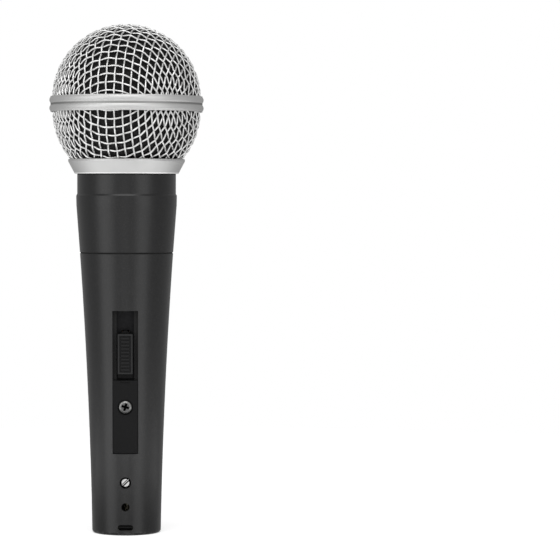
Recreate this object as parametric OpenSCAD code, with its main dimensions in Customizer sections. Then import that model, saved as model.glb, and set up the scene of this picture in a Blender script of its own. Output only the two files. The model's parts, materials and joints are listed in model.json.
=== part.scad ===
// Handheld dynamic vocal microphone with a ball grille, an on/off slide switch
// and a three-pin connector in the end of the handle.
// It stands on the handle's end face. The switch faces -Y and the grille is at the top.

/* [Handle] */
// Length of the handle from its end face to the joint line
handle_len = 93.8; // [77.8:0.1:112.8]
// Radius of the handle at its end face
end_r = 11.5; // [11:0.1:13.8]
// Radius of the handle at the joint line
joint_r = 15.6; // [15.2:0.1:18.8]
// Radius of the hollow curve that the handle's flank follows
flank_r = 1800; // [1500:10:2400]
// Wall of the handle
handle_wall = 2.2; // [1.8:0.1:2.6]
// Rounding of the end face's outer edge
end_round = 0.9; // [0.3:0.1:1.2]
// Chamfer on both sides of the joint line
joint_chamfer = 0.3; // [0.1:0.05:0.4]

/* [Neck] */
// Length of the neck sleeve that shows, from the joint line to the grille collar
neck_len = 26.4; // [22:0.2:32]
// Length of the tapered part of the sleeve
neck_taper_len = 15.9; // [13:0.1:19]
// Step of the shoulder, between the sleeve and the ring above it
shoulder_step = 0.35; // [0.25:0.05:0.5]
// Height of the slope on that step
shoulder_slope = 0.6; // [0.4:0.05:0.8]
// Height of the ring above the shoulder
neck_ring_h = 6.75; // [5:0.05:8.1]
// Step between that ring and the thread that the grille screws on to
seat_step = 1.25; // [1:0.05:1.5]
// Wall of the neck at the thread's crests
thread_wall = 2.05; // [1.7:0.05:2.5]
// Length of that thread
thread_len = 6.3; // [5.3:0.1:7.5]
// Pitch of that thread
thread_pitch = 1.25; // [1:0.05:1.5]
// Depth of that thread
thread_depth = 0.45; // [0.3:0.05:0.6]
// Radius of the bore that the cartridge hangs in
neck_bore_r = 13.2; // [12:0.05:15.9]
// Length of the spigot inside the handle
spigot_len = 8; // [6.7:0.1:9.6]
// Wall of the spigot
spigot_wall = 1.8; // [1.5:0.1:2.2]

/* [Grille] */
// Outer radius of the upper wire basket
dome_r = 24.9; // [22.5:0.1:29.9]
// How much smaller the lower basket's radius is
bowl_inset = 0.1; // [0:0.05:0.2]
// Height of the upper basket's centre above the lower one's
basket_spread = 4.2; // [3.5:0.1:5]
// Thickness of the wire baskets
grille_wall = 0.6; // [0.5:0.05:0.8]
// Height of the band between the two baskets
band_h = 5.2; // [4:0.1:6.3]
// Radius of the two beads that make the band
bead_r = 1.5; // [1.1:0.05:1.8]
// How far the band stands out from the upper basket
band_proud = 0.85; // [0.6:0.05:1.1]
// Height of the collar under the lower basket
collar_h = 4.9; // [4.1:0.1:5.8]
// How far the collar stands out from the neck where they meet
collar_proud = 1; // [0.7:0.1:1.3]
// How much wider the collar is at its lip
collar_flare = 2; // [1.6:0.1:2.4]
// Thickness of the lip around the lower basket
lip_t = 0.55; // [0.4:0.05:0.7]
// Height of the collar's straight lip
collar_lip_h = 0.8; // [0.5:0.1:1.2]
// Thickness of the foam behind the wires
foam_t = 3; // [2.5:0.1:3.6]
// Gap between the foam and the wires
foam_gap = 0.7; // [0.5:0.05:0.9]

/* [Cartridge] */
// Gap between the cartridge's cup and the collar's bore
cup_gap = 0.93; // [0.75:0.01:2]
// Height of the cartridge's cup
cup_h = 12.4; // [12:0.1:14.8]
// Thickness of the shock mount round the rear chamber
mount_t = 1.9; // [1.5:0.1:2.4]
// Height of the rear chamber
chamber_h = 21.2; // [17.7:0.1:23]
// Wall of the cup and the chamber
cup_wall = 1; // [0.8:0.1:1.1]
// Height of the shock mount's flange on the neck
flange_h = 3; // [2.5:0.1:3.6]
// How far the shock mount reaches into the neck
plug_h = 7; // [5.8:0.1:8.4]
// Height of the perforated cap
cap_h = 2.6; // [2.4:0.1:3.1]
// Radius of the holes in the perforated cap
cap_hole_r = 1.25; // [1:0.05:1.5]
// Step between the pole piece and the magnet under it
magnet_step = 0.7; // [0.4:0.05:1.2]
// Thickness of the magnet
magnet_h = 2.5; // [2.1:0.1:3]
// Wall of the frame round the yoke
frame_wall = 1.3; // [1.1:0.05:1.6]
// Wall of the yoke
yoke_wall = 2.6; // [2.1:0.05:3.1]
// Thickness of the pole piece
pole_h = 1.95; // [1.6:0.05:2.3]
// Thickness of the yoke's floor
yoke_floor = 2.2; // [1.8:0.1:2.6]
// Radius of the hole through the yoke, the magnet and the pole piece
vent_r = 1.5; // [1.2:0.05:1.8]
// Wall of the voice coil
coil_wall = 0.37; // [0.3:0.01:0.45]
// Air gap on each side of the voice coil
coil_gap = 0.4; // [0.33:0.01:0.48]
// Thickness of the diaphragm
diaphragm_t = 0.15; // [0.12:0.01:0.2]
// Height of the diaphragm's dome
dome_h = 2.4; // [2:0.1:2.6]

/* [Switch] */
// Height of the switch recess's lower end above the end face
recess_low = 27.2; // [24:0.1:32.6]
// Length of the switch recess
recess_len = 47.6; // [45:0.1:52]
// Width of the switch recess
recess_w = 8.5; // [7.4:0.1:9.4]
// Depth of the recess's ledge below the flank's front line
ledge_depth = 2.05; // [1.8:0.05:2.3]
// Thickness of the handle's wall behind the ledge
pad_t = 1.5; // [1.25:0.05:1.8]
// Width of the well that the button slides in
well_w = 5.8; // [5.5:0.1:6.9]
// Length of the cover plate
cover_len = 24.5; // [22.5:0.1:24.9]
// Gap on each side of the cover plate
cover_gap = 0.2; // [0.1:0.05:0.3]
// Radius of the cover plate's gently domed face
cover_face_r = 20; // [16:0.5:30]
// Depth of the cover plate's edges below the flank's front line
cover_edge_depth = 0.8; // [0.6:0.05:0.95]
// Width of the button
button_w = 4.9; // [4.3:0.1:5]
// Length of the button with its lower lip
button_len = 14.6; // [13.5:0.1:15.5]
// Gap between the cover plate and the button at rest
button_gap = 0.9; // [0.5:0.1:1.1]
// Travel of the button
travel = 6; // [5:0.1:6.2]
// Number of ribs on the button
rib_count = 10; // [7:1:12]
// Radius of the cover screw's head
screw_head_r = 2.1; // [1.8:0.05:2.4]
// Radius of the cover screw's shank
screw_shank_r = 1.15; // [1:0.05:1.35]
// Distance of the cover screw from the recess's lower end
screw_rise = 15.7; // [12.9:0.1:16.5]

/* [Connector] */
// Radius of the socket that the cable's plug slides into
socket_r = 8.1; // [8.05:0.01:8.2]
// Radius of the widened mouth of the socket
mouth_r = 8.4; // [8.35:0.01:8.5]
// Length of the widened mouth
mouth_len = 2.2; // [1.8:0.1:2.6]
// Depth of the socket
socket_depth = 14; // [12.5:0.1:15]
// Thickness of the insulator that holds the contact pins
insulator_t = 8; // [7:0.1:9]
// Radius of each contact pin
pin_r = 1.2; // [1.15:0.01:1.25]
// Radius of the circle that the contact pins stand on
pin_circle_r = 4; // [3.8:0.05:4.2]
// Depth of the contact pins' tips inside the mouth
pin_tip_depth = 2.5; // [2.4:0.1:3]
// Width of the latch slot
latch_w = 5.2; // [4.4:0.1:6]
// Height of the latch slot
latch_h = 1.85; // [1.6:0.05:2.2]
// Height of the latch slot's middle above the end face
latch_z = 2.65; // [2.3:0.05:3]
// Radius of the set screw
set_screw_r = 1.4; // [1.2:0.05:1.65]
// Radius of the hole that the set screw is reached through
access_r = 1.9; // [1.7:0.05:2.2]
// Radius of the small round hole under the set screw
small_hole_r = 1.37; // [1.1:0.01:1.6]
// Height of the small round hole above the end face
small_hole_z = 9.5; // [8.5:0.1:10]

/* [Wiring] */
// Radius of each insulated lead
lead_r = 0.55; // [0.45:0.05:0.65]

/* [Hidden] */

$fn = 72;
eps = 0.01;         // overlap of joined pieces of one solid
fit_gap = 0.05;     // radial gap between pieces that are pushed together
thread_gap = 0.08;  // radial gap of the collar on its thread
cut = 1;            // how far a cutting shape passes its face
reach = 60;         // a length beyond the whole width

// The flank's circle passes through the end face's and the joint line's edges.
flank_steps = 18;
chord = [joint_r - end_r, handle_len];
chord_len = norm(chord);
flank_h = sqrt(flank_r * flank_r - chord_len * chord_len / 4);
flank_c = [(joint_r + end_r) / 2 + flank_h * chord.y / chord_len,
           handle_len / 2 - flank_h * chord.x / chord_len];

// Radius of the handle's flank at height z
function flank_at(z) = flank_c.x - sqrt(flank_r * flank_r - (z - flank_c.y) * (z - flank_c.y));

// Radii and heights of the neck and the grille
thread_r = neck_bore_r + thread_wall;
neck_r = thread_r + seat_step;
sleeve_r = neck_r + shoulder_step;
collar_low_r = neck_r + collar_proud;
collar_lip_r = collar_low_r + collar_flare;
bowl_r = dome_r - bowl_inset;
collar_z = handle_len + neck_len;
shoulder_z = collar_z - neck_ring_h;
thread_top = collar_z + thread_len;
lip_bore_r = collar_lip_r - lip_t;
bowl_z = collar_z + collar_h + sqrt(bowl_r * bowl_r - lip_bore_r * lip_bore_r);
dome_z = bowl_z + basket_spread;
band_mid = (dome_z + bowl_z) / 2 + 0.2;
band_r = dome_r + band_proud;
spigot_r = joint_r - handle_wall - fit_gap;
spigot_bore_r = spigot_r - spigot_wall;
collar_bore_r = thread_r + thread_gap;
collar_sleeve_r = collar_bore_r + 1.25;
collar_sleeve_h = thread_len + 0.8;
basket_edge_r = collar_sleeve_r + 0.1;
basket_edge_z = collar_z + 3.1;

// Radii and heights inside the cartridge
cup_r = collar_bore_r - cup_gap;
chamber_r = neck_bore_r - fit_gap - mount_t;
cup_z = thread_top + flange_h;
cup_floor = 1.2;
cup_bore_r = cup_r - cup_wall;
cup_top = cup_z + cup_h;
frame_z = cup_z + cup_floor;
frame_r = cup_bore_r - fit_gap;
frame_lip = 0.7;
yoke_z = frame_z + 0.1;
yoke_r = frame_r - frame_wall;
yoke_bore_r = yoke_r - yoke_wall;
pole_r = yoke_bore_r - 2 * coil_gap - coil_wall;
magnet_r = pole_r - magnet_step;
magnet_z = yoke_z + yoke_floor;
pole_z = magnet_z + magnet_h;
yoke_top = pole_z + pole_h;
rim_z = yoke_top + 2.4;
coil_r = pole_r + coil_gap;
coil_low = pole_z - 0.6;
roll_c = (coil_r + coil_wall + frame_r - 0.9) / 2 + 0.1;
roll_half = roll_c - coil_r - coil_wall - 0.15;
diaphragm_r = frame_r - fit_gap;
chamber_z = cup_z - chamber_h;
board_t = 1.4;
board_z = chamber_z - board_t;
lug_x = 3;
lug_len = 3.6;

// The switch stands on the flank's slanting front line: x is across, y inwards, z along it.
recess_top = recess_low + recess_len;
recess_mid = (recess_low + recess_top) / 2;
slant = atan((flank_at(recess_top) - flank_at(recess_low)) / recess_len);
line_len = recess_len / cos(slant);
line_y = (flank_at(recess_top) + flank_at(recess_low)) / 2;
pad_y = ledge_depth + pad_t;
line_low = -line_len / 2;
cover_top = line_low + cover_len;
cover_w = recess_w - 2 * cover_gap;
face_rise = cover_face_r - sqrt(cover_face_r * cover_face_r - cover_w * cover_w / 4);
screw_z = line_low + screw_rise;
button_low = cover_top + button_gap;
button_mid = button_low + button_len / 2;
button_face = 0.1;
button_lip = 1.3;
button_rim = 0.55;
can_y = pad_y + fit_gap;
can_wall = 0.4;
can_w = 8.8;
can_d = 5;
can_mid = button_mid + travel / 2;
can_len = 2 * travel + 7;
button_back = can_y - 0.2;
carriage_y = can_y + can_wall + 0.1;
carriage_t = 2.3;
carriage_len = travel + 2.4;
stem_w = 2.2;
stem_len = 4;
stem_y = 1.6;
clip_t = 0.3;
clip_x = 2.2;
clip_w = 1.2;
clip_y = carriage_y + carriage_t + fit_gap;
bump_h = 0.35;
base_t = 1.6;
base_y = can_y + can_d - base_t + 0.4;
rivet_r = 0.8;
rivet_h = base_y - clip_y - clip_t - bump_h - fit_gap;
tail_w = 0.8;
tail_t = 0.5;
tail_len = 3.5;

// Heights inside the connector
mouth_chamfer = 0.4;
insulator_r = socket_r - fit_gap;
insulator_top = socket_depth + insulator_t;
stop_r = 7.3;
stop_t = 1.5;
hollow_z = insulator_top + stop_t + 2.5;
hollow_r = flank_at(hollow_z) - handle_wall;
set_screw_z = socket_depth + 3.6;
set_screw_face = flank_at(set_screw_z) - 1;
set_screw_len = 6.2;
cup_len = 5;
pin_flange_r = 1.5;
pin_angles = [-90 - 62, -90 + 62, 90];

// How far a lead runs straight off a lug or a pin, and off a switch terminal
lead_drop = 16;
lead_loop = [0, 8 * cos(slant), 8 * sin(slant)];

// A point on the switch's slanting front line, in the microphone's frame
function on_line(p) = [p.x,
                       -line_y + p.y * cos(slant) - p.z * sin(slant),
                       recess_mid + p.y * sin(slant) + p.z * cos(slant)];

// Places the switch's pieces on the flank's slanting front line.
module switch_frame() {
    translate([0, -line_y, recess_mid])
        rotate([slant, 0, 0])
            children();
}

// A box from its corner and size, centred across x.
module slab(w, y, d, z, h) {
    translate([-w / 2, y, z])
        cube([w, d, h]);
}

// A ring with a rectangular section.
module ring(r_in, r_out, z, h) {
    translate([0, 0, z])
        rotate_extrude()
            translate([r_in, 0])
                square([r_out - r_in, h]);
}

// A disc that stands on height z.
module disc(r, z, h) {
    translate([0, 0, z])
        cylinder(r = r, h = h);
}

// A hole along y from the front, at height z.
module front_hole(r, z, depth = reach) {
    translate([0, -reach / 2, z])
        rotate([-90, 0, 0])
            cylinder(r = r, h = depth);
}

// Half section of the handle's solid shape, inset from its flank.
module handle_section(inset = 0) {
    flank = [for (k = [0 : flank_steps]) k * handle_len / flank_steps];
    polygon(concat([[0, 0]],
                   [for (z = flank) [flank_at(z) - inset, z]],
                   [[0, handle_len]]));
}

// Half section of the end face's rounded corner that is cut away.
module end_corner() {
    centre = flank_at(end_round) - end_round;
    difference() {
        translate([centre, -cut])
            square([end_round + cut, end_round + cut]);
        translate([centre, end_round])
            circle(r = end_round);
    }
}

// Half section of the joint line's chamfer that is cut away.
module joint_corner(side) {
    polygon([[joint_r - joint_chamfer, handle_len],
             [joint_r + cut, handle_len],
             [joint_r + cut, handle_len + side * (joint_chamfer + cut)]]);
}

// Half section of everything inside the handle: the socket, the stop and the hollow.
module handle_bore() {
    polygon([[0, -cut],
             [mouth_r + mouth_chamfer + cut, -cut],
             [mouth_r, mouth_chamfer],
             [mouth_r, mouth_len],
             [socket_r, mouth_len],
             [socket_r, insulator_top],
             [stop_r, insulator_top],
             [stop_r, insulator_top + stop_t],
             [hollow_r, hollow_z],
             [0, hollow_z]]);
    intersection() {
        handle_section(handle_wall);
        translate([0, hollow_z - eps])
            square([joint_r, handle_len]);
    }
    translate([0, handle_len - spigot_len - 0.3])
        square([joint_r - handle_wall, spigot_len + cut]);
}

module handle_shell() {
    color([0.23, 0.23, 0.24])
    difference() {
        union() {
            rotate_extrude()
                difference() {
                    handle_section();
                    end_corner();
                    joint_corner(-1);
                    handle_bore();
                }
            // Flat pad inside the wall, behind the switch
            intersection() {
                rotate_extrude()
                    difference() {
                        handle_section();
                        square([stop_r, insulator_top + stop_t]);
                    }
                switch_frame()
                    slab(recess_w + 4, 0, pad_y, line_low - 1, line_len + 3);
            }
            // Key rib of the socket
            translate([socket_r - 0.8, -0.95, mouth_len + 0.4])
                cube([0.8 + 2 * eps, 1.9, socket_depth - mouth_len - 0.4]);
        }
        switch_frame() {
            slab(recess_w, -reach, reach + ledge_depth, line_low, line_len);
            slab(well_w, 0, pad_y + cut, cover_top - 0.2, line_len / 2 - cover_top + 0.2);
            translate([0, 0, screw_z])
                rotate([-90, 0, 0])
                    cylinder(r = screw_shank_r + 0.3, h = pad_y + cut);
        }
        front_hole(access_r, set_screw_z, reach / 2 - socket_r / 2);
        front_hole(small_hole_r, small_hole_z, reach / 2 - socket_r / 2);
        // Latch slot with round ends
        for (side = [-1, 1])
            translate([side * (latch_w - latch_h) / 2, 0, 0])
                front_hole(latch_h / 2, latch_z, reach / 2 - socket_r / 2);
        slab(latch_w - latch_h, -reach / 2, reach / 2 - socket_r / 2,
             latch_z - latch_h / 2, latch_h);
    }
}

module neck_sleeve() {
    groove_count = floor((thread_len - 1.2) / thread_pitch);
    color([0.23, 0.23, 0.24])
    rotate_extrude()
        difference() {
            polygon([[spigot_bore_r, handle_len - spigot_len],
                     [spigot_r - 0.3, handle_len - spigot_len],
                     [spigot_r, handle_len - spigot_len + 0.3],
                     [spigot_r, handle_len],
                     [joint_r, handle_len],
                     [sleeve_r - 0.07, handle_len + neck_taper_len],
                     [sleeve_r, shoulder_z - shoulder_slope],
                     [neck_r, shoulder_z],
                     [neck_r, collar_z - 0.15],
                     [neck_r - 0.15, collar_z],
                     [thread_r, collar_z],
                     [thread_r, thread_top - 0.4],
                     [thread_r - 0.4, thread_top],
                     [neck_bore_r, thread_top],
                     [neck_bore_r, handle_len + 5.5],
                     [spigot_bore_r, handle_len + 3.5]]);
            joint_corner(1);
            // Thread, as a stack of grooves
            for (k = [1 : groove_count])
                translate([thread_r, collar_z + k * thread_pitch])
                    polygon([[-thread_depth, 0],
                             [eps, -thread_depth * 0.9],
                             [eps, thread_depth * 0.9]]);
        }
}

module grille_collar() {
    color([0.78, 0.78, 0.77])
    rotate_extrude() {
        difference() {
            polygon([[collar_bore_r, collar_z],
                     [collar_low_r - 0.2, collar_z],
                     [collar_low_r, collar_z + 0.3],
                     [collar_lip_r, collar_z + collar_h - collar_lip_h],
                     [collar_lip_r, collar_z + collar_h - 0.2],
                     [collar_lip_r - 0.2, collar_z + collar_h],
                     [collar_bore_r, collar_z + collar_h]]);
            translate([0, bowl_z])
                circle(r = bowl_r + fit_gap, $fn = 180);
        }
        translate([collar_bore_r, collar_z + eps])
            square([collar_sleeve_r - collar_bore_r, collar_sleeve_h]);
    }
}

// A spherical shell between two heights, outside a cylinder of radius r_min.
module shell(r, t, centre_z, low, high, r_min) {
    translate([0, 0, centre_z])
        rotate_extrude($fn = 120)
            intersection() {
                difference() {
                    circle(r = r, $fn = 180);
                    circle(r = r - t, $fn = 180);
                }
                translate([r_min, low - centre_z])
                    square([r + cut, high - low]);
            }
}

module grille_bowl() {
    color([0.7, 0.7, 0.7])
    shell(bowl_r, grille_wall, bowl_z, basket_edge_z, band_mid - 0.3, basket_edge_r);
}

module grille_dome() {
    color([0.7, 0.7, 0.7])
    shell(dome_r, grille_wall, dome_z, band_mid + 0.1, dome_z + dome_r + cut, 0);
}

module foam_bowl() {
    outer = bowl_r - grille_wall - foam_gap;
    foam_low = collar_z + collar_h + 0.1;
    color([0.1, 0.1, 0.1])
    difference() {
        shell(outer, foam_t, bowl_z, foam_low, band_mid - 0.2, collar_bore_r);
        // Room for the collar's sleeve
        disc(collar_sleeve_r + fit_gap, foam_low - cut,
             collar_z + collar_sleeve_h + 0.3 - foam_low + cut);
    }
}

module foam_dome() {
    outer = dome_r - grille_wall - foam_gap;
    color([0.1, 0.1, 0.1])
    shell(outer, foam_t, dome_z, band_mid + 0.2, dome_z + dome_r, 0);
}

// Two rounded beads with a groove between them.
module grille_band() {
    low = band_mid - band_h / 2;
    bore = dome_r + fit_gap;
    lobe_h = band_h / 2 - 0.15;
    color([0.78, 0.78, 0.77])
    rotate_extrude() {
        translate([bore, low])
            square([band_proud * 0.5, band_h]);
        for (side = [0, 1])
            intersection() {
                translate([bore, low + side * (band_h - lobe_h)])
                    square([band_proud - fit_gap, lobe_h]);
                translate([band_r - bead_r, low + lobe_h / 2 + side * (band_h - lobe_h)])
                    circle(r = bead_r);
            }
    }
}

module shock_mount() {
    color([0.09, 0.09, 0.09])
    rotate_extrude()
        polygon([[chamber_r + fit_gap, thread_top - plug_h],
                 [neck_bore_r - 0.8, thread_top - plug_h],
                 [neck_bore_r - fit_gap, thread_top - plug_h + 1.5],
                 [neck_bore_r - fit_gap, thread_top],
                 [thread_r - 0.25, thread_top],
                 [thread_r - 0.25, thread_top + 1],
                 [thread_r - 0.9, thread_top + 1.3],
                 [thread_r - 0.9, thread_top + flange_h - 1.3],
                 [thread_r - 0.25, thread_top + flange_h - 1],
                 [thread_r - 0.25, thread_top + flange_h],
                 [chamber_r + fit_gap, thread_top + flange_h]]);
}

module capsule_cup() {
    port_w = 3;
    port_h = 2.2;
    port_count = 8;
    chamber_bore_r = chamber_r - cup_wall;
    color([0.15, 0.15, 0.16])
    difference() {
        rotate_extrude()
            polygon([[0, chamber_z],
                     [chamber_r, chamber_z],
                     [chamber_r, cup_z],
                     [cup_r, cup_z],
                     [cup_r, cup_top],
                     [cup_bore_r, cup_top],
                     [cup_bore_r, frame_z],
                     [chamber_bore_r, frame_z],
                     [chamber_bore_r, chamber_z + cup_floor],
                     [0, chamber_z + cup_floor]]);
        // Rear ports beside the frame
        for (k = [0 : port_count - 1])
            rotate([0, 0, (k + 0.5) * 360 / port_count])
                translate([cup_bore_r - cut, -port_w / 2, frame_z + 1.4])
                    cube([cup_wall + 2 * cut, port_w, port_h]);
        // Holes for the two lugs
        for (side = [-1, 1])
            translate([side * lug_x, 0, chamber_z - cut])
                cylinder(r = 1, h = cup_floor + 2 * cut);
    }
}

module rear_felt() {
    color([0.55, 0.5, 0.42])
    ring(vent_r, chamber_r - cup_wall - fit_gap, frame_z - 2, 2);
}

module capsule_frame() {
    slot_w = 3;
    slot_count = 8;
    color([0.75, 0.73, 0.68])
    difference() {
        rotate_extrude()
            polygon([[yoke_r + fit_gap, frame_z],
                     [frame_r, frame_z],
                     [frame_r, rim_z],
                     [frame_r - 0.9, rim_z],
                     [frame_r - 0.9, yoke_top + frame_lip + fit_gap],
                     [yoke_bore_r + 0.6, yoke_top + frame_lip + fit_gap],
                     [yoke_bore_r + 0.6, yoke_top + fit_gap],
                     [yoke_r + fit_gap, yoke_top + fit_gap]]);
        for (k = [0 : slot_count - 1])
            rotate([0, 0, (k + 0.5) * 360 / slot_count])
                translate([yoke_r - 0.6, -slot_w / 2, yoke_top + fit_gap + frame_lip])
                    cube([frame_r, slot_w, 0.9]);
    }
}

module yoke() {
    color([0.6, 0.6, 0.62])
    rotate_extrude()
        polygon([[vent_r, yoke_z],
                 [yoke_r, yoke_z],
                 [yoke_r, yoke_top],
                 [yoke_bore_r, yoke_top],
                 [yoke_bore_r, magnet_z],
                 [vent_r, magnet_z]]);
}

module magnet() {
    color([0.45, 0.45, 0.47])
    ring(vent_r, magnet_r, magnet_z, magnet_h);
}

module pole_piece() {
    color([0.65, 0.65, 0.67])
    ring(vent_r, pole_r, pole_z, pole_h);
}

module voice_coil() {
    color([0.72, 0.42, 0.2])
    ring(coil_r, coil_r + coil_wall, coil_low, rim_z - coil_low);
}

module diaphragm() {
    seat = coil_r + coil_wall;
    arc_r = (seat * seat + dome_h * dome_h) / (2 * dome_h);
    arc_z = rim_z + diaphragm_t + dome_h - arc_r;
    roll_r = roll_half + 0.1;
    roll_z = rim_z - sqrt(roll_r * roll_r - roll_half * roll_half);
    color([0.8, 0.8, 0.75, 0.6])
    rotate_extrude() {
        // Dome over the coil
        intersection() {
            difference() {
                translate([0, arc_z])
                    circle(r = arc_r, $fn = 180);
                translate([0, arc_z])
                    circle(r = arc_r - diaphragm_t, $fn = 180);
            }
            translate([0, rim_z])
                square([seat, dome_h + cut]);
        }
        // Seat on the coil
        translate([coil_r, rim_z])
            square([roll_c - roll_half - coil_r + diaphragm_t, diaphragm_t]);
        // Rolled surround
        intersection() {
            translate([roll_c, roll_z])
                difference() {
                    circle(r = roll_r);
                    circle(r = roll_r - diaphragm_t);
                }
            translate([roll_c - roll_r, rim_z])
                square([2 * roll_r, 2 * roll_r]);
        }
        // Rim on the frame
        translate([roll_c + roll_half - diaphragm_t, rim_z])
            square([diaphragm_r - roll_c - roll_half + diaphragm_t, diaphragm_t]);
    }
}

module diaphragm_ring() {
    color([0.3, 0.3, 0.32])
    ring(frame_r - 0.85, diaphragm_r, rim_z + diaphragm_t, 1.2);
}

module front_cloth() {
    color([0.12, 0.12, 0.12])
    disc(cup_bore_r - fit_gap, cup_top + cap_h - 1.3, 0.3);
}

module resonator_cap() {
    hole_ring_r = 7.6;
    outer_count = 10;
    inner_count = 5;
    color([0.14, 0.14, 0.15])
    difference() {
        disc(cup_r, cup_top, cap_h);
        disc(cup_bore_r, cup_top - cut, cap_h - 1 + cut);
        translate([0, 0, cup_top])
            cylinder(r = cap_hole_r, h = cap_h + cut);
        for (k = [0 : outer_count - 1])
            rotate([0, 0, k * 360 / outer_count])
                translate([hole_ring_r + 2, 0, cup_top])
                    cylinder(r = cap_hole_r, h = cap_h + cut);
        for (k = [0 : inner_count - 1])
            rotate([0, 0, (k + 0.5) * 360 / inner_count])
                translate([hole_ring_r - 2.9, 0, cup_top])
                    cylinder(r = cap_hole_r, h = cap_h + cut);
    }
}

module terminal_board() {
    color([0.6, 0.45, 0.25])
    difference() {
        disc(chamber_r - 1.2, board_z, board_t);
        for (side = [-1, 1])
            translate([side * lug_x, 0, board_z - cut])
                cylinder(r = 0.85, h = board_t + 2 * cut);
    }
}

module capsule_lugs() {
    color([0.8, 0.68, 0.35])
    for (side = [-1, 1])
        translate([side * lug_x, 0, 0]) {
            disc(0.8, board_z - eps, board_t + cup_floor);
            disc(1.3, board_z - 0.4, 0.4);
            translate([-0.9, -0.2, board_z - lug_len])
                cube([1.8, 0.4, lug_len - 0.4 + eps]);
        }
}

module switch_cover() {
    notch_w = 3.3;
    face_y = cover_edge_depth - face_rise;
    side_lug_len = 4;
    color([0.12, 0.12, 0.12])
    switch_frame()
        difference() {
            union() {
                intersection() {
                    slab(cover_w, face_y, ledge_depth - face_y,
                         line_low + cover_gap, cover_len - cover_gap);
                    translate([0, face_y + cover_face_r, line_low])
                        cylinder(r = cover_face_r, h = cover_len, $fn = 240);
                }
                // Locating lug on one side
                translate([-recess_w / 2 + 0.02, cover_edge_depth + 0.3, screw_z + 1.6])
                    cube([cover_gap + 0.5, ledge_depth - cover_edge_depth - 0.3, side_lug_len]);
            }
            // Thumb notch in front of the button
            slab(notch_w, -cut, cut + cover_edge_depth - 0.1, cover_top - 0.8, 0.8 + cut);
            translate([0, 0, screw_z])
                rotate([-90, 0, 0]) {
                    cylinder(r = screw_shank_r + 0.2, h = ledge_depth + cut);
                    cylinder(r = screw_head_r + 0.6, h = cover_edge_depth - 0.1);
                    translate([0, 0, cover_edge_depth - 0.1])
                        cylinder(r1 = screw_head_r + fit_gap, r2 = screw_shank_r + fit_gap, h = 0.9);
                }
        }
}

module cover_screw() {
    head_y = cover_edge_depth - 0.1;
    head_t = 0.35;
    arm_w = 0.8;
    arm_len = 2.6;
    arm_depth = 0.7;
    color([0.62, 0.62, 0.62])
    switch_frame()
        translate([0, 0, screw_z])
            rotate([-90, 0, 0])
                difference() {
                    union() {
                        translate([0, 0, head_y - head_t])
                            cylinder(r1 = screw_head_r - 0.5, r2 = screw_head_r, h = head_t);
                        translate([0, 0, head_y - eps])
                            cylinder(r1 = screw_head_r, r2 = screw_shank_r, h = 0.9);
                        translate([0, 0, head_y + 0.5])
                            cylinder(r = screw_shank_r, h = can_y + 3 - head_y - 0.5);
                    }
                    // Cross recess
                    for (turn = [17, 107])
                        rotate([0, 0, turn])
                            translate([-arm_len / 2, -arm_w / 2, head_y - head_t - cut])
                                cube([arm_len, arm_w, arm_depth + cut]);
                }
}

// Block of the button, before its face and its pocket are cut.
module button_block() {
    slab(button_w, 0.9, button_back - 0.9, button_low, button_len);
    slab(button_w, button_face, button_back - button_face,
         button_low + button_lip, button_len - button_lip);
    // Rounded nose above the block
    intersection() {
        translate([0, 1, button_low + button_len - 0.6])
            rotate([-90, 0, 0]) {
                cylinder(r1 = 1.25, r2 = 1.6, h = 0.25);
                translate([0, 0, 0.25 - eps])
                    cylinder(r = 1.6, h = button_back - 1.25);
            }
        slab(button_w, 1, button_back, button_low + button_len - eps, 1);
    }
}

module switch_button() {
    pad_w = button_w - 2 * button_rim;
    pad_len = button_len - button_lip - 2 * button_rim;
    pad_low = button_low + button_lip + button_rim;
    pad_depth = 0.4;
    rib_w = 2.75;
    rib_pitch = pad_len / (rib_count + 0.5);
    color([0.14, 0.14, 0.14])
    switch_frame() {
        difference() {
            button_block();
            slab(pad_w, button_face - cut, pad_depth + cut, pad_low, pad_len);
            // Pocket for the carriage's stem
            slab(stem_w + 2 * fit_gap, stem_y - fit_gap, reach,
                 button_mid - stem_len / 2 - fit_gap, stem_len + 2 * fit_gap);
        }
        for (k = [0 : rib_count - 1])
            slab(rib_w, button_face + 0.1, pad_depth, pad_low + (k + 0.5) * rib_pitch, rib_pitch * 0.5);
    }
}

module switch_carriage() {
    color([0.85, 0.83, 0.78])
    switch_frame() {
        slab(can_w - 2 * can_wall - 0.6, carriage_y, carriage_t,
             button_mid - carriage_len / 2, carriage_len);
        slab(stem_w, stem_y, carriage_y - stem_y + eps, button_mid - stem_len / 2, stem_len);
    }
}

module switch_clips() {
    color([0.75, 0.5, 0.3])
    switch_frame()
        for (side = [-1, 1])
            translate([side * clip_x, 0, button_mid]) {
                slab(clip_w, clip_y, clip_t, -travel / 2 - 0.8, travel + 1.6);
                for (up = [-1, 1])
                    translate([0, clip_y + clip_t - eps, up * travel / 2])
                        rotate([-90, 0, 0])
                            cylinder(r1 = 0.5, r2 = 0.3, h = bump_h + eps);
            }
}

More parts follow.
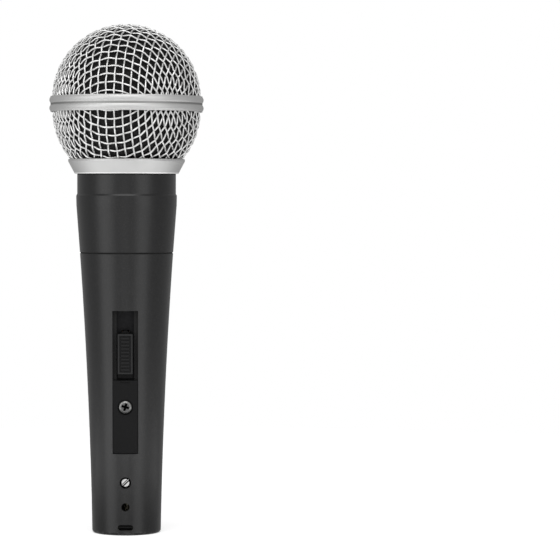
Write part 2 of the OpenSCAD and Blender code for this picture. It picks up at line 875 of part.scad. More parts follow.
module switch_can() {
    ear_t = 0.8;
    ear_w = 6;
    ear_low = screw_z - 2.6;
    slot_len = stem_len + travel + 0.6;
    flange_len = line_len / 2 + 0.6 - can_mid - can_len / 2;
    color([0.35, 0.35, 0.36])
    switch_frame()
        difference() {
            union() {
                slab(can_w, can_y, can_d, can_mid - can_len / 2, can_len);
                slab(ear_w, can_y, ear_t, ear_low, can_mid - can_len / 2 - ear_low + eps);
                // Flange that closes the upper end of the well
                slab(can_w, can_y, ear_t, can_mid + can_len / 2 - eps, flange_len);
                translate([0, can_y, screw_z])
                    rotate([-90, 0, 0])
                        cylinder(r = 2, h = 2.2);
            }
            slab(can_w - 2 * can_wall, can_y + can_wall, can_d,
                 can_mid - can_len / 2 + can_wall, can_len - 2 * can_wall);
            slab(stem_w + 0.3, can_y - cut, can_wall + 2 * cut, can_mid - slot_len / 2, slot_len);
            translate([0, 0, screw_z])
                rotate([-90, 0, 0])
                    cylinder(r = screw_shank_r + fit_gap, h = reach / 4);
        }
}

module switch_base() {
    color([0.55, 0.33, 0.16])
    switch_frame()
        difference() {
            slab(can_w - 2 * can_wall - 2 * fit_gap, base_y, base_t,
                 can_mid - can_len / 2 + can_wall + fit_gap, can_len - 2 * can_wall - 2 * fit_gap);
            for (side = [-1, 1], row = [-1, 0, 1])
                translate([side * clip_x, 0, can_mid + row * travel])
                    slab(tail_w + 2 * fit_gap, base_y - cut, base_t + 2 * cut,
                         -tail_t / 2 - fit_gap, tail_t + 2 * fit_gap);
        }
}

module switch_terminals() {
    color([0.8, 0.68, 0.35])
    switch_frame()
        for (side = [-1, 1], row = [-1, 0, 1])
            translate([side * clip_x, 0, can_mid + row * travel]) {
                slab(tail_w, base_y - eps, base_t + tail_len, -tail_t / 2, tail_t);
                translate([0, base_y - rivet_h, 0])
                    rotate([-90, 0, 0])
                        cylinder(r = rivet_r, h = rivet_h);
            }
}

module xlr_insulator() {
    color([0.1, 0.1, 0.1])
    difference() {
        disc(insulator_r, socket_depth, insulator_t);
        for (angle = pin_angles)
            rotate([0, 0, angle])
                translate([pin_circle_r, 0, socket_depth - cut])
                    cylinder(r = pin_flange_r + fit_gap, h = insulator_t + 2 * cut);
        // Hole of the set screw
        translate([0, -insulator_r - cut, set_screw_z])
            rotate([-90, 0, 0])
                cylinder(r = set_screw_r + fit_gap,
                         h = insulator_r + cut - set_screw_face + set_screw_len + 0.3);
        // Index mark moulded in the face
        translate([insulator_r - 1.2, -0.4, socket_depth - cut])
            cube([2, 0.8, 0.5 + cut]);
    }
}

// Contact pin with a round tip, a flange inside the insulator and a solder cup.
module xlr_pin(index) {
    color([0.82, 0.78, 0.62])
    rotate([0, 0, pin_angles[index - 1]])
        translate([pin_circle_r, 0, 0])
            difference() {
                rotate_extrude()
                    union() {
                        translate([0, pin_tip_depth + 0.8])
                            square([pin_r, socket_depth - pin_tip_depth - 0.8 + eps]);
                        intersection() {
                            translate([0, pin_tip_depth])
                                square([pin_r, 0.8 + eps]);
                            translate([0, pin_tip_depth + 1.3])
                                circle(r = 1.3);
                        }
                        translate([0, socket_depth])
                            square([pin_flange_r, insulator_t]);
                        translate([0, insulator_top - eps])
                            square([pin_r, cup_len]);
                    }
                translate([0, 0, insulator_top + cup_len - 3])
                    cylinder(r = pin_r - 0.45, h = 3 + cut);
            }
}

module ground_lug() {
    strip_w = 2.6;
    strip_t = 0.4;
    color([0.8, 0.68, 0.35])
    rotate([0, 0, pin_angles[0]])
        difference() {
            union() {
                translate([pin_circle_r - 2, -strip_w / 2, insulator_top + fit_gap])
                    cube([stop_r - 0.1 - pin_circle_r + 2, strip_w, strip_t]);
                translate([stop_r - 0.1 - strip_t, -strip_w / 2, insulator_top + fit_gap])
                    cube([strip_t, strip_w, 2.2]);
            }
            translate([pin_circle_r, 0, insulator_top - cut])
                cylinder(r = pin_r + fit_gap, h = 2 * cut);
            // The strip bends with the wall that it presses on
            difference() {
                disc(2 * stop_r, insulator_top, 4);
                disc(stop_r - fit_gap, insulator_top - cut, 6);
            }
        }
}

module xlr_set_screw() {
    slot_w = 0.9;
    slot_depth = 0.8;
    slot_turn = 43;
    color([0.85, 0.85, 0.85])
    translate([0, -set_screw_face, set_screw_z])
        rotate([-90, 0, 0])
            difference() {
                union() {
                    cylinder(r1 = set_screw_r - 0.15, r2 = set_screw_r, h = 0.15);
                    translate([0, 0, 0.15 - eps])
                        cylinder(r = set_screw_r, h = set_screw_len - 0.15);
                }
                rotate([0, 0, -slot_turn])
                    translate([-2 * set_screw_r, -slot_w / 2, -cut])
                        cube([4 * set_screw_r, slot_w, slot_depth + cut]);
            }
}

// Point of a smooth curve through four control points.
function curve(p, t) = pow(1 - t, 3) * p[0] + 3 * t * pow(1 - t, 2) * p[1]
                     + 3 * t * t * (1 - t) * p[2] + pow(t, 3) * p[3];
function slope(p, t) = pow(1 - t, 2) * (p[1] - p[0]) + 2 * t * (1 - t) * (p[2] - p[1])
                     + t * t * (p[3] - p[2]);

// Round lead along that curve.
module lead(p) {
    steps = 14;
    sides = 8;
    points = [
        for (i = [0 : steps])
            let (t = i / steps, along = slope(p, t) / norm(slope(p, t)),
                 side = cross(along, [0, 1, 0.31]) / norm(cross(along, [0, 1, 0.31])),
                 other = cross(along, side))
            for (k = [0 : sides - 1])
                curve(p, t) + lead_r * (cos(k * 360 / sides) * side + sin(k * 360 / sides) * other)
    ];
    walls = [
        for (i = [0 : steps - 1], k = [0 : sides - 1])
            [i * sides + k, i * sides + (k + 1) % sides,
             (i + 1) * sides + (k + 1) % sides, (i + 1) * sides + k]
    ];
    near = [for (k = [0 : sides - 1]) sides - 1 - k];
    far = [for (k = [0 : sides - 1]) steps * sides + k];
    polyhedron(points, concat([near, far], walls));
}

// Tip of a switch terminal, in the microphone's frame
function tail_tip(side, row) =
    on_line([side * clip_x, base_y + base_t + tail_len + fit_gap, can_mid + row * travel]);

// Mouth of a contact pin's solder cup
function cup_mouth(index) = [pin_circle_r * cos(pin_angles[index - 1]),
                             pin_circle_r * sin(pin_angles[index - 1]),
                             insulator_top + cup_len + fit_gap];

module capsule_lead(side) {
    start = [side * lug_x, 0, board_z - lug_len - fit_gap];
    finish = tail_tip(side, 1);
    lead([start, start - [0, 0, lead_drop], finish + lead_loop, finish]);
}

module xlr_lead(side, index) {
    start = tail_tip(side, 0);
    finish = cup_mouth(index);
    lead([start, start + lead_loop, finish + [0, 0, lead_drop], finish]);
}

module capsule_lead_hot() {
    color([0.75, 0.15, 0.12])
    capsule_lead(1);
}

module capsule_lead_cold() {
    color([0.9, 0.88, 0.82])
    capsule_lead(-1);
}

module xlr_lead_hot() {
    color([0.75, 0.15, 0.12])
    xlr_lead(1, 2);
}

module xlr_lead_cold() {
    color([0.9, 0.88, 0.82])
    xlr_lead(-1, 3);
}

handle_shell();
neck_sleeve();
grille_collar();
grille_bowl();
grille_band();
grille_dome();
foam_bowl();
foam_dome();
shock_mount();
capsule_cup();
rear_felt();
capsule_frame();
yoke();
magnet();
pole_piece();
voice_coil();
diaphragm();
diaphragm_ring();
front_cloth();
resonator_cap();
terminal_board();
capsule_lugs();
switch_cover();
cover_screw();
switch_button();
switch_carriage();
switch_clips();
switch_can();
switch_base();
switch_terminals();
xlr_insulator();
xlr_pin(1);  // xlr_pin_1
xlr_pin(2);  // xlr_pin_2
xlr_pin(3);  // xlr_pin_3
ground_lug();
xlr_set_screw();
capsule_lead_hot();
capsule_lead_cold();
xlr_lead_hot();
xlr_lead_cold();
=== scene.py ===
import bpy, bmesh, json, math
from mathutils import Matrix, Vector, noise


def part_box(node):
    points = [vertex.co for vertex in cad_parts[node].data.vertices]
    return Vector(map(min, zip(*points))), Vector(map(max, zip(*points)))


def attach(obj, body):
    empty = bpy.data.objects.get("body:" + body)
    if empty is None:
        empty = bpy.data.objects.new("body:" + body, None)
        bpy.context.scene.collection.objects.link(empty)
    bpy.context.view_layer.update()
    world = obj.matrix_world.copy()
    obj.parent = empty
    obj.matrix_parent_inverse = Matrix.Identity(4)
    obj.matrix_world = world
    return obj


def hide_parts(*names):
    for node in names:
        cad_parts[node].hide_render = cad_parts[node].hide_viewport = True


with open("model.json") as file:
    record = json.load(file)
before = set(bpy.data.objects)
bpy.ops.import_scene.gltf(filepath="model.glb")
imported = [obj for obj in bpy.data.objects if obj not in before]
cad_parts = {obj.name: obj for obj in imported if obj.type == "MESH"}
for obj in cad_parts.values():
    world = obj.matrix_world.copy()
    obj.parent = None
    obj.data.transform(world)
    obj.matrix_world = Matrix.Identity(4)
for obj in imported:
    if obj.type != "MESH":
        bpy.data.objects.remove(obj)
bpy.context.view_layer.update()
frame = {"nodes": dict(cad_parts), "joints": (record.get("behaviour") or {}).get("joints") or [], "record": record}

mm = 0.001
hair = 0.001 * mm        # closer than this counts as touching


# ---- shader tools

class Level:
    # a value in a finish's nodes, so that shader maths reads as plain arithmetic
    def __init__(self, finish, socket):
        self.finish = finish
        self.socket = socket

    def math(self, operation, first, second):
        made = self.finish.node("ShaderNodeMath", {"operation": operation},
                                {0: first, 1: second})
        return Level(self.finish, made.outputs[0])

    def __add__(self, other):
        return self.math("ADD", self, other)

    def __radd__(self, other):
        return self.math("ADD", other, self)

    def __sub__(self, other):
        return self.math("SUBTRACT", self, other)

    def __rsub__(self, other):
        return self.math("SUBTRACT", other, self)

    def __mul__(self, other):
        return self.math("MULTIPLY", self, other)

    def __rmul__(self, other):
        return self.math("MULTIPLY", other, self)

    def least(self, other):
        return self.math("MINIMUM", self, other)

    def most(self, other):
        return self.math("MAXIMUM", self, other)


class Finish:
    # one material: a Principled shader with its fixed values, and the nodes that vary it
    def __init__(self, name, **fixed):
        self.material = bpy.data.materials.new(name)
        self.material.use_nodes = True
        self.tree = self.material.node_tree
        self.shader = self.tree.nodes["Principled BSDF"]
        for socket, value in fixed.items():
            self.shader.inputs[socket.replace("_", " ")].default_value = value
        self.place = self.node("ShaderNodeTexCoord").outputs["Object"]

    def node(self, kind, settings={}, sockets={}):
        made = self.tree.nodes.new(kind)
        for key, value in settings.items():
            setattr(made, key, value)
        for key, value in sockets.items():
            self.feed(made.inputs[key], value)
        return made

    def feed(self, socket, value):
        if isinstance(value, Level):
            value = value.socket
        if isinstance(value, bpy.types.NodeSocket):
            self.tree.links.new(value, socket)
        elif socket.type == "RGBA" and len(value) == 3:
            socket.default_value = (*value, 1)
        else:
            socket.default_value = value

    def vary(self, **sockets):
        for socket, value in sockets.items():
            self.feed(self.shader.inputs[socket.replace("_", " ")], value)
        return self

    def scaled(self, stretch, turn=(0, 0, 0)):
        return self.node("ShaderNodeMapping", {"vector_type": "TEXTURE"},
                         {"Vector": self.place, "Rotation": turn,
                          "Scale": [1 / s for s in stretch]}).outputs[0]

    def speckle(self, perMetre, detail=2.0, rough=0.5, place=None, distortion=0.0):
        made = self.node("ShaderNodeTexNoise", {},
                         {"Vector": place or self.place, "Scale": perMetre, "Detail": detail,
                          "Roughness": rough, "Distortion": distortion})
        return Level(self, made.outputs["Fac"])

    def cellEdges(self, perMetre):
        made = self.node("ShaderNodeTexVoronoi", {"feature": "DISTANCE_TO_EDGE"},
                         {"Vector": self.place, "Scale": perMetre})
        return Level(self, made.outputs["Distance"])

    def bands(self, perMetre, direction):
        made = self.node("ShaderNodeTexWave", {"bands_direction": direction},
                         {"Vector": self.place, "Scale": perMetre})
        return Level(self, made.outputs["Fac"])

    def height(self):
        made = self.node("ShaderNodeSeparateXYZ", {}, {"Vector": self.place})
        return Level(self, made.outputs["Z"])

    def fromLine(self, point, direction):
        offset = self.node("ShaderNodeVectorMath", {"operation": "SUBTRACT"},
                           {0: self.place, 1: point})
        across = self.node("ShaderNodeVectorMath", {"operation": "CROSS_PRODUCT"},
                           {0: offset.outputs[0], 1: direction})
        length = self.node("ShaderNodeVectorMath", {"operation": "LENGTH"}, {0: across.outputs[0]})
        return Level(self, length.outputs["Value"])

    def along(self, direction):
        made = self.node("ShaderNodeVectorMath", {"operation": "DOT_PRODUCT"},
                         {0: self.place, 1: direction})
        return Level(self, made.outputs["Value"])

    def between(self, value, none, full):
        # 0 where the value is at none, 1 where it is at full
        made = self.node("ShaderNodeMapRange", {"interpolation_type": "SMOOTHSTEP"},
                         {"Value": value, "From Min": none, "From Max": full})
        return Level(self, made.outputs[0])

    def eitherSide(self, offset, none, full):
        return self.between(offset * offset, none ** 2, full ** 2)

    def shade(self, mask, dark, light):
        made = self.node("ShaderNodeMix", {"data_type": "RGBA"},
                         {"Factor": mask, "A": dark, "B": light})
        return made.outputs["Result"]

    def relief(self, height, depth, strength):
        made = self.node("ShaderNodeBump", {},
                         {"Height": height, "Distance": depth, "Strength": strength})
        return made.outputs[0]


print("shader tools ready")


def middle(node):
    low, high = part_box(node)
    return (Vector(low) + Vector(high)) / 2


def nearEnd(node, direction):
    # how far along a direction a CAD node starts
    return min(v.co.dot(direction) for v in frame["nodes"][node].data.vertices)


# ---- finishes

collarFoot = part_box("grille_collar")[0][2]

# the switch's pieces stand square to the direction that the button slides in
slide = next(j for j in frame["joints"] if j["name"] == "switch_slide")["axis"]
recessInwards = Vector((0, slide[2], -slide[1]))


handle = {
    "endRadius": 11.5 * mm,
    "sag": 0.61 * mm,                     # how hollow the flank is at its middle
    "insideShadeDepth": (0.6 * mm, 1.1 * mm),    # under the skin, where the painted shade of the recess and the inside starts and is full
    "seamShade": (0.278 * mm, 0.17 * mm),      # from the joint, where its painted line of shade starts and is full
    "collarShade": (-0.45 * mm, -0.3 * mm),
    "rubbedFoot": (1.6 * mm, 0.2 * mm),   # heights where the worn foot starts and is full
}


def gripPaint():
    f = Finish("gripPaint", Metallic=0.0, Specular_IOR_Level=0.5)
    jointRadius, _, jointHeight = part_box("handle_shell")[1]
    grain = f.speckle(5200, 3.0, 0.6)
    peel = f.speckle(1100, 2.0)
    flecks = f.between(f.speckle(2600, 2.0, 0.7), 0.5, 0.68)
    up = f.height().least(jointHeight) * (1 / jointHeight)
    flank = (handle["endRadius"] + (jointRadius - handle["endRadius"]) * up
             - 4 * handle["sag"] * up * (1 - up))
    under = flank - f.fromLine((0, 0, 0), (0, 0, 1))
    fromJoint = f.height() - jointHeight
    seamShade = f.eitherSide(fromJoint, *handle["seamShade"])
    underCollarShade = f.between(f.height() - collarFoot, *handle["collarShade"])
    # painted shade: in the recess and the inside under the skin, along the joint's line and under the collar's
    # foot
    inside = f.between(under, *handle["insideShadeDepth"])
    paintedShade = inside.most(seamShade).most(underCollarShade)
    rubbed = f.between(f.height(), *handle["rubbedFoot"])
    rubbed = rubbed * f.between(f.speckle(900, 3.0), 0.45, 0.6)
    coat = f.shade(flecks, (0.005, 0.005, 0.0053), (0.012, 0.012, 0.0124))
    coat = f.shade(rubbed, coat, (0.04, 0.04, 0.04))
    f.vary(Base_Color=f.shade(paintedShade, coat, (0.002, 0.002, 0.002)),
           Roughness=0.27 + 0.14 * grain - 0.05 * rubbed + 0.45 * paintedShade)
    f.vary(Normal=f.relief(grain * 0.7 + peel * 0.6, 0.05 * mm, 0.5))
    return f.material


castings = {
    "collarHighlight": (0.5 * mm, 0.3 * mm),      # heights above the collar's foot where the painted highlight starts and is full
    "groove": (0.42 * mm, 0.2 * mm),      # from the middle of the band's groove, where the painted shade starts and is full
}


def satinCast():
    # a painted highlight along the collar's lower edge, painted shade in the band's groove
    f = Finish("satinCast", Metallic=1.0, Specular_Tint=(0.55, 0.55, 0.55, 1))
    turned = f.speckle(1.0, 3.0, 0.6, f.scaled((60, 60, 9000)))
    blast = f.speckle(4200, 2.0, 0.6)
    cloud = f.speckle(160, 2.0)
    collarHighlightMask = f.between(f.height() - collarFoot, *castings["collarHighlight"])
    fromGroove = f.height() - middle("grille_band").z
    grooveShadeMask = f.eitherSide(fromGroove, *castings["groove"])
    metal = f.shade(cloud, (0.64, 0.64, 0.635), (0.73, 0.73, 0.725))
    metal = f.shade(grooveShadeMask, metal, (0.36, 0.36, 0.355))
    f.vary(Base_Color=f.shade(collarHighlightMask, metal, (0.96, 0.96, 0.955)),
           Roughness=0.48 + 0.08 * blast + 0.08 * turned)
    f.vary(Normal=f.relief(turned * 0.6 + blast * 0.5, 0.012 * mm, 0.35))
    return f.material


def grilleWire():
    f = Finish("grilleWire", Metallic=1.0)
    drawn = f.speckle(1900, 3.0, 0.6)
    dulled = f.between(f.speckle(420, 3.0), 0.45, 0.7)
    metal = f.shade(dulled, (0.88, 0.88, 0.875), (0.74, 0.74, 0.73))
    f.vary(Base_Color=metal, Roughness=0.28 + 0.1 * drawn + 0.08 * dulled)
    f.vary(Normal=f.relief(drawn, 0.02 * mm, 0.3))
    return f.material


def linerFoam():
    f = Finish("linerFoam", Metallic=0.0, Specular_IOR_Level=0.15)
    pores = f.cellEdges(1500)
    strands = f.between(pores, 0.16, 0.02)
    fine = f.speckle(3800, 3.0, 0.7)
    colour = f.shade(strands * 0.8 + fine * 0.2, (0.006, 0.006, 0.006), (0.032, 0.032, 0.0325))
    f.vary(Base_Color=colour, Roughness=0.86 + 0.12 * fine)
    f.vary(Normal=f.relief(strands + fine * 0.3, 0.22 * mm, 0.9))
    return f.material


def mountRubber():
    f = Finish("mountRubber", Metallic=0.0, Specular_IOR_Level=0.4)
    bloom = f.between(f.speckle(260, 4.0, 0.65), 0.4, 0.75)
    skin = f.speckle(3000, 2.0)
    f.vary(Base_Color=f.shade(bloom, (0.012, 0.012, 0.0125), (0.032, 0.032, 0.031)),
           Roughness=0.55 + 0.2 * bloom + 0.08 * skin)
    f.vary(Normal=f.relief(skin, 0.03 * mm, 0.4))
    return f.material


def mouldedPlastic(name, dark, light, gloss, grainScale, grainDepth):
    f = Finish(name, Metallic=0.0, Specular_IOR_Level=0.45)
    grain = f.speckle(grainScale, 3.0, 0.65)
    flow = f.speckle(1.0, 2.0, 0.5, f.scaled((140, 140, 45)))
    f.vary(Base_Color=f.shade(flow * 0.6 + grain * 0.4, dark, light),
           Roughness=gloss + 0.12 * grain + 0.06 * flow)
    f.vary(Normal=f.relief(grain, grainDepth, 0.5))
    return f.material


def pressedFelt():
    f = Finish("pressedFelt", Metallic=0.0, Specular_IOR_Level=0.2)
    fibres = f.speckle(1.0, 4.0, 0.75, f.scaled((5200, 1700, 2600), (0.3, 0.5, 0.9)), 1.2)
    tufts = f.speckle(900, 3.0, 0.7)
    f.vary(Base_Color=f.shade(fibres * 0.6 + tufts * 0.4, (0.24, 0.21, 0.16), (0.5, 0.46, 0.38)),
           Roughness=0.85 + 0.12 * fibres)
    f.vary(Normal=f.relief(fibres + tufts, 0.12 * mm, 0.8))
    return f.material


def workedMetal(name, dark, light, gloss, lines, stretch, tarnish=0.0):
    # lines is the scale of the tool marks, stretch how they run on each axis
    f = Finish(name, Metallic=1.0)
    marks = f.speckle(1.0, 3.0, 0.6, f.scaled([lines * s for s in stretch]))
    cloud = f.speckle(520, 3.0, 0.6)
    spots = f.between(f.speckle(1500, 4.0, 0.7), 0.56, 0.72) * tarnish
    f.vary(Base_Color=f.shade(spots, f.shade(cloud, light, dark), [c * 0.35 for c in dark]),
           Roughness=gloss + 0.14 * marks + 0.06 * cloud + 0.2 * spots)
    f.vary(Normal=f.relief(marks, 0.015 * mm, 0.4))
    return f.material


crossHead = {
    "recess": (0.38 * mm, 0.48 * mm),     # depths where the painted shade in the cross starts and is full
    "insideRimHighlight": (2.0 * mm, 1.5 * mm),         # radii between the painted highlight at the rim and the darker middle
    "edge": (1.9 * mm, 2.08 * mm),        # radii where the painted shade at the outer edge starts and is full
}


def crossScrew():
    # painted shade in its recess and at its outer edge, darker in the middle, with a painted highlight ring at the
    # rim
    f = Finish("screwSteel", Metallic=1.0)
    marks = f.speckle(2600, 3.0, 0.6)
    depth = f.along(recessInwards) - nearEnd("cover_screw", recessInwards)
    radius = f.fromLine(middle("cover_screw"), recessInwards)
    recess = f.between(depth, *crossHead["recess"])
    insideRimHighlight = f.between(radius + 0.5 * mm * marks, *crossHead["insideRimHighlight"])
    edge = f.between(radius, *crossHead["edge"])
    metal = f.shade(marks, (0.2, 0.2, 0.196), (0.38, 0.38, 0.372))
    metal = f.shade(insideRimHighlight, metal, (0.12, 0.12, 0.12))
    metal = f.shade(edge, metal, (0.04, 0.04, 0.04))
    f.vary(Base_Color=f.shade(recess, metal, (0.003, 0.003, 0.003)),
           Roughness=0.26 + 0.16 * marks + 0.3 * recess)
    f.vary(Normal=f.relief(marks, 0.03 * mm, 0.5))
    return f.material


slotHead = {
    "turn": math.radians(43),             # of the slot, from level
    "slotShade": (0.08 * mm, 0.2 * mm),       # depths where the painted shade starts and is full
    "unshadedLine": 0.05 * mm,               # from the slot's middle to the line that stays unshaded
    "corner": (0.07 * mm, 0.14 * mm),     # from that line, where the painted shade starts and is full
}


def slottedScrew():
    # bright, with painted shade in the corners of its slot, most of it in the lower one
    f = Finish("brightScrew", Metallic=1.0)
    acrossSlot = Vector((-math.sin(slotHead["turn"]), 0, math.cos(slotHead["turn"])))
    inwards = Vector((0, 1, 0))
    marks = f.speckle(3000, 3.0, 0.6)
    depth = f.along(inwards) - nearEnd("xlr_set_screw", inwards)
    unshadedLine = middle("xlr_set_screw").dot(acrossSlot) + slotHead["unshadedLine"]
    aside = f.along(acrossSlot) - unshadedLine
    corner = f.eitherSide(aside, *slotHead["corner"])
    slotShade = f.between(depth, *slotHead["slotShade"]) * corner
    metal = f.shade(marks, (0.36, 0.36, 0.355), (0.6, 0.6, 0.595))
    f.vary(Base_Color=f.shade(slotShade, metal, (0.004, 0.004, 0.004)),
           Roughness=0.16 + 0.14 * marks + 0.4 * slotShade)
    f.vary(Normal=f.relief(marks, 0.015 * mm, 0.4))
    return f.material


counterboreShade = (2.62 * mm, 2.42 * mm)      # radii where its ring of painted shade starts and is full


def coverPlate():
    # black plastic, with a ring of painted shade in the counterbore round its screw
    f = Finish("coverPlastic", Metallic=0.0, Specular_IOR_Level=0.14)
    grain = f.speckle(4200, 3.0, 0.65)
    flow = f.speckle(1.0, 2.0, 0.5, f.scaled((140, 140, 45)))
    radius = f.fromLine(middle("cover_screw"), recessInwards)
    shadeRing = f.between(radius, *counterboreShade)
    plastic = f.shade(flow * 0.6 + grain * 0.4,
                      (0.0025, 0.0025, 0.0027), (0.0065, 0.0065, 0.0068))
    f.vary(Base_Color=f.shade(shadeRing, plastic, (0.0003, 0.0003, 0.0003)),
           Roughness=0.4 + 0.12 * grain + 0.4 * shadeRing)
    f.vary(Normal=f.relief(grain, 0.03 * mm, 0.5))
    return f.material


buttonShading = {
    "rim": (0.16 * mm, 0.0),              # depths between the painted highlight on the rim and the plain plastic
    "gap": (0.5 * mm, 0.8 * mm),          # depths where the painted shade of the gap starts and is full
}


def slideButton():
    # a painted highlight on the raised parts, the rim most, then the ribs, and painted shade deep in the gap
    f = Finish("buttonPlastic", Metallic=0.0, Specular_IOR_Level=0.17)
    grain = f.speckle(3600, 3.0, 0.65)
    depth = f.along(recessInwards) - nearEnd("switch_button", recessInwards)
    highlightAndGrain = f.between(depth, *buttonShading["rim"]) * 0.8 + grain * 0.2
    deepShade = f.between(depth, *buttonShading["gap"])
    plastic = f.shade(highlightAndGrain, (0.0035, 0.0035, 0.0037), (0.019, 0.019, 0.0194))
    f.vary(Base_Color=f.shade(deepShade, plastic, (0.0015, 0.0015, 0.0015)),
           Roughness=0.34 + 0.12 * grain + 0.3 * deepShade)
    f.vary(Normal=f.relief(grain, 0.02 * mm, 0.5))
    return f.material


def woundCopper():
    f = Finish("woundCopper", Metallic=1.0)
    turns = f.bands(3500, "Z")
    cloud = f.speckle(700, 3.0)
    f.vary(Base_Color=f.shade(turns * 0.7 + cloud * 0.3, (0.3, 0.11, 0.045), (0.83, 0.42, 0.2)),
           Roughness=0.24 + 0.16 * cloud)
    f.vary(Normal=f.relief(turns, 0.04 * mm, 0.8))
    return f.material


def diaphragmFilm():
    f = Finish("diaphragmFilm", Metallic=0.0, Coat_Roughness=0.06, Specular_IOR_Level=0.6)
    ripple = f.speckle(420, 2.0)
    dust = f.between(f.speckle(2800, 3.0, 0.7), 0.6, 0.75)
    f.vary(Base_Color=f.shade(ripple, (0.62, 0.58, 0.44), (0.86, 0.83, 0.72)),
           Roughness=0.1 + 0.12 * ripple + 0.2 * dust, Coat_Weight=0.5 + 0.4 * ripple,
           Alpha=0.55 + 0.15 * ripple + 0.2 * dust)
    f.vary(Normal=f.relief(ripple, 0.03 * mm, 0.3))
    return f.material


def screenCloth():
    f = Finish("screenCloth", Metallic=0.0, Specular_IOR_Level=0.3)
    weave = f.bands(900, "X") * f.bands(900, "Y")
    lint = f.speckle(4000, 3.0, 0.7)
    f.vary(Base_Color=f.shade(weave * 0.8 + lint * 0.2,
                              (0.004, 0.004, 0.0045), (0.045, 0.045, 0.047)),
           Roughness=0.75 + 0.2 * lint)
    f.vary(Normal=f.relief(weave + lint * 0.2, 0.08 * mm, 0.9))
    return f.material


def pressedBoard():
    f = Finish("pressedBoard", Metallic=0.0, Specular_IOR_Level=0.5)
    paper = f.speckle(1.0, 4.0, 0.7, f.scaled((900, 2600, 2600)))
    resin = f.speckle(300, 3.0)
    f.vary(Base_Color=f.shade(paper * 0.6 + resin * 0.4, (0.17, 0.075, 0.026), (0.42, 0.23, 0.1)),
           Roughness=0.36 + 0.18 * paper)
    f.vary(Normal=f.relief(paper, 0.03 * mm, 0.5))
    return f.material


def leadJacket(name, dark, light):
    f = Finish(name, Metallic=0.0, Specular_IOR_Level=0.5)
    drawn = f.speckle(1.0, 2.0, 0.5, f.scaled((2400, 2400, 260)))
    soot = f.between(f.speckle(700, 4.0, 0.7), 0.5, 0.75)
    f.vary(Base_Color=f.shade(drawn * 0.5 + soot * 0.5, light, dark), Roughness=0.3 + 0.2 * soot)
    f.vary(Normal=f.relief(drawn, 0.03 * mm, 0.4))
    return f.material


finishes = {
    "grip_paint": gripPaint(),
    "satin_cast": satinCast(),
    "grille_wire": grilleWire(),
    "foam": linerFoam(),
    "rubber": mountRubber(),
    "black_plastic": mouldedPlastic("capPlastic", (0.012, 0.012, 0.013), (0.028, 0.028, 0.03),
                                    0.38, 3200, 0.03 * mm),
    "felt": pressedFelt(),
    "cream_plastic": mouldedPlastic("creamNylon", (0.56, 0.51, 0.41), (0.76, 0.72, 0.62),
                                    0.3, 2400, 0.015 * mm),
    "plated_steel": workedMetal("platedSteel", (0.5, 0.5, 0.52), (0.7, 0.7, 0.71), 0.24,
                                2600, (0.05, 0.05, 2), 0.3),
    "magnet_nickel": workedMetal("nickelledMagnet", (0.5, 0.47, 0.42), (0.72, 0.69, 0.63), 0.14,
                                 1500, (1, 1, 1), 0.15),
    "copper": woundCopper(),
    "film": diaphragmFilm(),
    "acoustic_cloth": screenCloth(),
    "phenolic": pressedBoard(),
    "tinned_brass": workedMetal("tinnedBrass", (0.6, 0.52, 0.34), (0.8, 0.77, 0.66), 0.26,
                                3000, (0.3, 1, 0.3), 0.5),
    "cover_plastic": coverPlate(),
    "button_plastic": slideButton(),
    "screw_steel": crossScrew(),
    "black_steel": workedMetal("blackenedSteel", (0.008, 0.008, 0.0085), (0.026, 0.026, 0.027),
                               0.34, 2200, (0.1, 1, 1), 0.3),
    "contact_plating": workedMetal("contactPlating", (0.62, 0.57, 0.44), (0.86, 0.82, 0.7), 0.14,
                                   3600, (0.2, 0.2, 2), 0.2),
    "bright_screw": slottedScrew(),
    "lead_red": leadJacket("leadRed", (0.3, 0.016, 0.012), (0.58, 0.04, 0.03)),
    "lead_white": leadJacket("leadWhite", (0.52, 0.5, 0.44), (0.8, 0.78, 0.72)),
}
for part in frame["record"]["subparts"]:
    for holder in frame["nodes"][part["node"]].material_slots:
        holder.material = finishes[part["material_slot"]]
print("finishes on", len(frame["nodes"]), "nodes")


# ---- shared steps for the pieces

def addPiece(name, bm, slot, body, *stands):
    # closes a mesh up, gives it its finish and hangs it on its body
    mesh = bpy.data.meshes.new(name)
    bm.to_mesh(mesh)
    bm.free()
    mesh.shade_smooth()
    mesh.materials.append(finishes[slot])
    piece = bpy.data.objects.new(name, mesh)
    bpy.context.collection.objects.link(piece)
    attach(piece, body)
    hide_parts(*stands)
    print(name, len(mesh.polygons), "faces")
    return piece


# ---- woven wire baskets

wireCloth = {
    "pitch": 2.78 * mm,
    "wireRadius": 0.31 * mm,
    "wave": 0.308 * mm,       # how far a wire swings to pass over and under
    "stepsPerMesh": 4,
    "roundness": 2,
    "netReach": math.radians(51),     # how far the net is laid out from the pole, along a wire
    "wireReach": math.radians(101),   # how far a wire may run from the pole
    "centreDrop": 4.2 * mm,   # from the upper basket's centre down to the lower one's
    "domeTurn": math.radians(-11),
    "domeShift": (1, 0),      # half meshes between the pole and the nearest crossing
    "bowlTurn": math.radians(-11),
    "bowlShift": (1, 1),
    "domeHem": -0.1 * mm,     # cut edges, from the band's middle
    "bowlHem": -0.3 * mm,
    "collarHeight": 4.9 * mm,
    "bowlFoot": 0.8 * mm,     # how far the lower basket goes into the collar's lip
}


def pressedNet(radius):
    # square cloth pressed over a ball keeps four equal sides in every mesh; counted in half meshes
    step = math.asin(wireCloth["pitch"] / 2 / radius)
    reach = 2 * round(wireCloth["netReach"] / step)
    knots = {(0, 0): Vector((0, 0, 1))}
    for i in range(1, reach + 1):
        knots[i, 0] = Vector((math.sin(i * step), 0, math.cos(i * step)))
        knots[0, i] = Vector((0, math.sin(i * step), math.cos(i * step)))
    for i in range(1, reach + 1):
        for j in range(1, reach + 1):
            across = knots[i - 1, j].cross(knots[i, j - 1]).normalized()
            knots[i, j] = knots[i - 1, j - 1].reflect(across)
    return knots, reach


